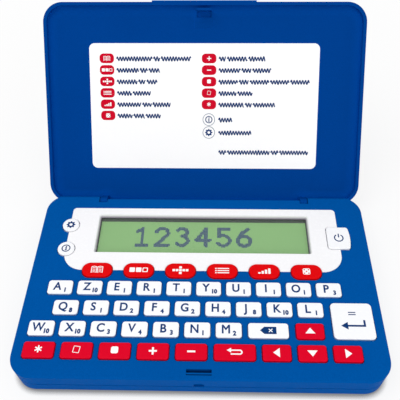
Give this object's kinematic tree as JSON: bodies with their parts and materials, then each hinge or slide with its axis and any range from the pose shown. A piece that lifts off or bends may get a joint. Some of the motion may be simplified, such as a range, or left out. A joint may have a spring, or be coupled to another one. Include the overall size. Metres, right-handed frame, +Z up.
{
  "type": "electronic dictionary",
  "caption": "Pocket electronic dictionary: blue clamshell case with a letter keyboard, menu and arrow keys, a wide green display and a hinged lid.",
  "frame": {"origin": "centre of the case's flat underside, on the surface it rests on", "axes": "+X to the user's right, +Y towards the hinge and away from the user, +Z up out of the keyboard"},
  "size_m": [0.1456, 0.1493, 0.0816],
  "materials": {
    "blue_case": "fine satin moulding",
    "blue_lid": "fine satin moulding",
    "white_panel": "smooth gloss",
    "white_key": "smooth gloss",
    "red_key": "smooth gloss",
    "clear_lens": "clear acrylic",
    "lcd_glass": "green reflective display glass",
    "board_green": "solder mask",
    "grey_rubber": "silicone rubber",
    "cell_steel": "nickel-plated steel",
    "contact_steel": "nickel-plated spring steel",
    "screw_steel": "black-zinc steel",
    "label_card": "printed card",
    "navy_print": "screen-printed ink",
    "white_print": "screen-printed ink",
    "red_print": "screen-printed ink",
    "grey_print": "screen-printed ink",
    "display_print": "dark dots of the display"
  },
  "bodies": {
    "case": {"top_case": "blue_case", "bottom_case": "blue_case", "case_screws": "screw_steel", "display_bezel": "white_panel", "display_window": "clear_lens", "lcd_module": "lcd_glass", "circuit_board": "board_green", "key_mat": "grey_rubber", "batteries": "cell_steel", "battery_contacts": "contact_steel"},
    "lid": {"lid_shell": "blue_lid", "lid_label": "label_card"},
    "battery_door": {"battery_cover": "blue_case"},
    "key_dictionary": {"key_dictionary": "red_key"},
    "key_build_word": {"key_build_word": "red_key"},
    "key_place_word": {"key_place_word": "red_key"},
    "key_list": {"key_list": "red_key"},
    "key_score": {"key_score": "red_key"},
    "key_games": {"key_games": "red_key"},
    "key_a": {"key_a": "white_key"},
    "key_z": {"key_z": "white_key"},
    "key_e": {"key_e": "white_key"},
    "key_r": {"key_r": "white_key"},
    "key_t": {"key_t": "white_key"},
    "key_y": {"key_y": "white_key"},
    "key_u": {"key_u": "white_key"},
    "key_i": {"key_i": "white_key"},
    "key_o": {"key_o": "white_key"},
    "key_p": {"key_p": "white_key"},
    "key_q": {"key_q": "white_key"},
    "key_s": {"key_s": "white_key"},
    "key_d": {"key_d": "white_key"},
    "key_f": {"key_f": "white_key"},
    "key_g": {"key_g": "white_key"},
    "key_h": {"key_h": "white_key"},
    "key_j": {"key_j": "white_key"},
    "key_k": {"key_k": "white_key"},
    "key_l": {"key_l": "white_key"},
    "key_w": {"key_w": "white_key"},
    "key_x": {"key_x": "white_key"},
    "key_c": {"key_c": "white_key"},
    "key_v": {"key_v": "white_key"},
    "key_b": {"key_b": "white_key"},
    "key_n": {"key_n": "white_key"},
    "key_m": {"key_m": "white_key"},
    "key_any_letter": {"key_any_letter": "red_key"},
    "key_blank_tile": {"key_blank_tile": "red_key"},
    "key_full_tile": {"key_full_tile": "red_key"},
    "key_bonus": {"key_bonus": "red_key"},
    "key_deduct": {"key_deduct": "red_key"},
    "key_return": {"key_return": "red_key"},
    "key_left": {"key_left": "red_key"},
    "key_down": {"key_down": "red_key"},
    "key_right": {"key_right": "red_key"},
    "key_erase": {"key_erase": "white_key"},
    "key_up": {"key_up": "red_key"},
    "key_enter": {"key_enter": "white_key"},
    "key_settings": {"key_settings": "white_key"},
    "key_information": {"key_information": "white_key"},
    "key_power": {"key_power": "white_key"}
  },
  "joints": [
    {"name": "lid_hinge", "type": "hinge", "parent": "case", "child": "lid", "pos_m": [0, 0.04435, 0.0104], "axis": [1, 0, 0], "range_deg": [0, 126.7]},
    {"name": "battery_door_hinge", "type": "hinge", "parent": "case", "child": "battery_door", "pos_m": [0, 0.03525, 0.00075], "axis": [1, 0, 0], "range_deg": [0, 80]},
    {"name": "key_dictionary_press", "type": "slide", "parent": "case", "child": "key_dictionary", "axis": [0, 0, -1], "range_m": [0, 0.0007], "stiffness_N_per_m": 300, "springref_m": -0.0005},
    {"name": "key_build_word_press", "type": "slide", "parent": "case", "child": "key_build_word", "axis": [0, 0, -1], "range_m": [0, 0.0007], "stiffness_N_per_m": 300, "springref_m": -0.0005},
    {"name": "key_place_word_press", "type": "slide", "parent": "case", "child": "key_place_word", "axis": [0, 0, -1], "range_m": [0, 0.0007], "stiffness_N_per_m": 300, "springref_m": -0.0005},
    {"name": "key_list_press", "type": "slide", "parent": "case", "child": "key_list", "axis": [0, 0, -1], "range_m": [0, 0.0007], "stiffness_N_per_m": 300, "springref_m": -0.0005},
    {"name": "key_score_press", "type": "slide", "parent": "case", "child": "key_score", "axis": [0, 0, -1], "range_m": [0, 0.0007], "stiffness_N_per_m": 300, "springref_m": -0.0005},
    {"name": "key_games_press", "type": "slide", "parent": "case", "child": "key_games", "axis": [0, 0, -1], "range_m": [0, 0.0007], "stiffness_N_per_m": 300, "springref_m": -0.0005},
    {"name": "key_a_press", "type": "slide", "parent": "case", "child": "key_a", "axis": [0, 0, -1], "range_m": [0, 0.0007], "stiffness_N_per_m": 300, "springref_m": -0.0005},
    {"name": "key_z_press", "type": "slide", "parent": "case", "child": "key_z", "axis": [0, 0, -1], "range_m": [0, 0.0007], "stiffness_N_per_m": 300, "springref_m": -0.0005},
    {"name": "key_e_press", "type": "slide", "parent": "case", "child": "key_e", "axis": [0, 0, -1], "range_m": [0, 0.0007], "stiffness_N_per_m": 300, "springref_m": -0.0005},
    {"name": "key_r_press", "type": "slide", "parent": "case", "child": "key_r", "axis": [0, 0, -1], "range_m": [0, 0.0007], "stiffness_N_per_m": 300, "springref_m": -0.0005},
    {"name": "key_t_press", "type": "slide", "parent": "case", "child": "key_t", "axis": [0, 0, -1], "range_m": [0, 0.0007], "stiffness_N_per_m": 300, "springref_m": -0.0005},
    {"name": "key_y_press", "type": "slide", "parent": "case", "child": "key_y", "axis": [0, 0, -1], "range_m": [0, 0.0007], "stiffness_N_per_m": 300, "springref_m": -0.0005},
    {"name": "key_u_press", "type": "slide", "parent": "case", "child": "key_u", "axis": [0, 0, -1], "range_m": [0, 0.0007], "stiffness_N_per_m": 300, "springref_m": -0.0005},
    {"name": "key_i_press", "type": "slide", "parent": "case", "child": "key_i", "axis": [0, 0, -1], "range_m": [0, 0.0007], "stiffness_N_per_m": 300, "springref_m": -0.0005},
    {"name": "key_o_press", "type": "slide", "parent": "case", "child": "key_o", "axis": [0, 0, -1], "range_m": [0, 0.0007], "stiffness_N_per_m": 300, "springref_m": -0.0005},
    {"name": "key_p_press", "type": "slide", "parent": "case", "child": "key_p", "axis": [0, 0, -1], "range_m": [0, 0.0007], "stiffness_N_per_m": 300, "springref_m": -0.0005},
    {"name": "key_q_press", "type": "slide", "parent": "case", "child": "key_q", "axis": [0, 0, -1], "range_m": [0, 0.0007], "stiffness_N_per_m": 300, "springref_m": -0.0005},
    {"name": "key_s_press", "type": "slide", "parent": "case", "child": "key_s", "axis": [0, 0, -1], "range_m": [0, 0.0007], "stiffness_N_per_m": 300, "springref_m": -0.0005},
    {"name": "key_d_press", "type": "slide", "parent": "case", "child": "key_d", "axis": [0, 0, -1], "range_m": [0, 0.0007], "stiffness_N_per_m": 300, "springref_m": -0.0005},
    {"name": "key_f_press", "type": "slide", "parent": "case", "child": "key_f", "axis": [0, 0, -1], "range_m": [0, 0.0007], "stiffness_N_per_m": 300, "springref_m": -0.0005},
    {"name": "key_g_press", "type": "slide", "parent": "case", "child": "key_g", "axis": [0, 0, -1], "range_m": [0, 0.0007], "stiffness_N_per_m": 300, "springref_m": -0.0005},
    {"name": "key_h_press", "type": "slide", "parent": "case", "child": "key_h", "axis": [0, 0, -1], "range_m": [0, 0.0007], "stiffness_N_per_m": 300, "springref_m": -0.0005},
    {"name": "key_j_press", "type": "slide", "parent": "case", "child": "key_j", "axis": [0, 0, -1], "range_m": [0, 0.0007], "stiffness_N_per_m": 300, "springref_m": -0.0005},
    {"name": "key_k_press", "type": "slide", "parent": "case", "child": "key_k", "axis": [0, 0, -1], "range_m": [0, 0.0007], "stiffness_N_per_m": 300, "springref_m": -0.0005},
    {"name": "key_l_press", "type": "slide", "parent": "case", "child": "key_l", "axis": [0, 0, -1], "range_m": [0, 0.0007], "stiffness_N_per_m": 300, "springref_m": -0.0005},
    {"name": "key_w_press", "type": "slide", "parent": "case", "child": "key_w", "axis": [0, 0, -1], "range_m": [0, 0.0007], "stiffness_N_per_m": 300, "springref_m": -0.0005},
    {"name": "key_x_press", "type": "slide", "parent": "case", "child": "key_x", "axis": [0, 0, -1], "range_m": [0, 0.0007], "stiffness_N_per_m": 300, "springref_m": -0.0005},
    {"name": "key_c_press", "type": "slide", "parent": "case", "child": "key_c", "axis": [0, 0, -1], "range_m": [0, 0.0007], "stiffness_N_per_m": 300, "springref_m": -0.0005},
    {"name": "key_v_press", "type": "slide", "parent": "case", "child": "key_v", "axis": [0, 0, -1], "range_m": [0, 0.0007], "stiffness_N_per_m": 300, "springref_m": -0.0005},
    {"name": "key_b_press", "type": "slide", "parent": "case", "child": "key_b", "axis": [0, 0, -1], "range_m": [0, 0.0007], "stiffness_N_per_m": 300, "springref_m": -0.0005},
    {"name": "key_n_press", "type": "slide", "parent": "case", "child": "key_n", "axis": [0, 0, -1], "range_m": [0, 0.0007], "stiffness_N_per_m": 300, "springref_m": -0.0005},
    {"name": "key_m_press", "type": "slide", "parent": "case", "child": "key_m", "axis": [0, 0, -1], "range_m": [0, 0.0007], "stiffness_N_per_m": 300, "springref_m": -0.0005},
    {"name": "key_any_letter_press", "type": "slide", "parent": "case", "child": "key_any_letter", "axis": [0, 0, -1], "range_m": [0, 0.0007], "stiffness_N_per_m": 300, "springref_m": -0.0005},
    {"name": "key_blank_tile_press", "type": "slide", "parent": "case", "child": "key_blank_tile", "axis": [0, 0, -1], "range_m": [0, 0.0007], "stiffness_N_per_m": 300, "springref_m": -0.0005},
    {"name": "key_full_tile_press", "type": "slide", "parent": "case", "child": "key_full_tile", "axis": [0, 0, -1], "range_m": [0, 0.0007], "stiffness_N_per_m": 300, "springref_m": -0.0005},
    {"name": "key_bonus_press", "type": "slide", "parent": "case", "child": "key_bonus", "axis": [0, 0, -1], "range_m": [0, 0.0007], "stiffness_N_per_m": 300, "springref_m": -0.0005},
    {"name": "key_deduct_press", "type": "slide", "parent": "case", "child": "key_deduct", "axis": [0, 0, -1], "range_m": [0, 0.0007], "stiffness_N_per_m": 300, "springref_m": -0.0005},
    {"name": "key_return_press", "type": "slide", "parent": "case", "child": "key_return", "axis": [0, 0, -1], "range_m": [0, 0.0007], "stiffness_N_per_m": 300, "springref_m": -0.0005},
    {"name": "key_left_press", "type": "slide", "parent": "case", "child": "key_left", "axis": [0, 0, -1], "range_m": [0, 0.0007], "stiffness_N_per_m": 300, "springref_m": -0.0005},
    {"name": "key_down_press", "type": "slide", "parent": "case", "child": "key_down", "axis": [0, 0, -1], "range_m": [0, 0.0007], "stiffness_N_per_m": 300, "springref_m": -0.0005},
    {"name": "key_right_press", "type": "slide", "parent": "case", "child": "key_right", "axis": [0, 0, -1], "range_m": [0, 0.0007], "stiffness_N_per_m": 300, "springref_m": -0.0005},
    {"name": "key_erase_press", "type": "slide", "parent": "case", "child": "key_erase", "axis": [0, 0, -1], "range_m": [0, 0.0007], "stiffness_N_per_m": 300, "springref_m": -0.0005},
    {"name": "key_up_press", "type": "slide", "parent": "case", "child": "key_up", "axis": [0, 0, -1], "range_m": [0, 0.0007], "stiffness_N_per_m": 300, "springref_m": -0.0005},
    {"name": "key_enter_press", "type": "slide", "parent": "case", "child": "key_enter", "axis": [0, 0, -1], "range_m": [0, 0.0007], "stiffness_N_per_m": 300, "springref_m": -0.0005},
    {"name": "key_settings_press", "type": "slide", "parent": "case", "child": "key_settings", "axis": [0, 0, -1], "range_m": [0, 0.0007], "stiffness_N_per_m": 300, "springref_m": -0.0005},
    {"name": "key_information_press", "type": "slide", "parent": "case", "child": "key_information", "axis": [0, 0, -1], "range_m": [0, 0.0007], "stiffness_N_per_m": 300, "springref_m": -0.0005},
    {"name": "key_power_press", "type": "slide", "parent": "case", "child": "key_power", "axis": [0, 0, -1], "range_m": [0, 0.0007], "stiffness_N_per_m": 300, "springref_m": -0.0005}
  ]
}
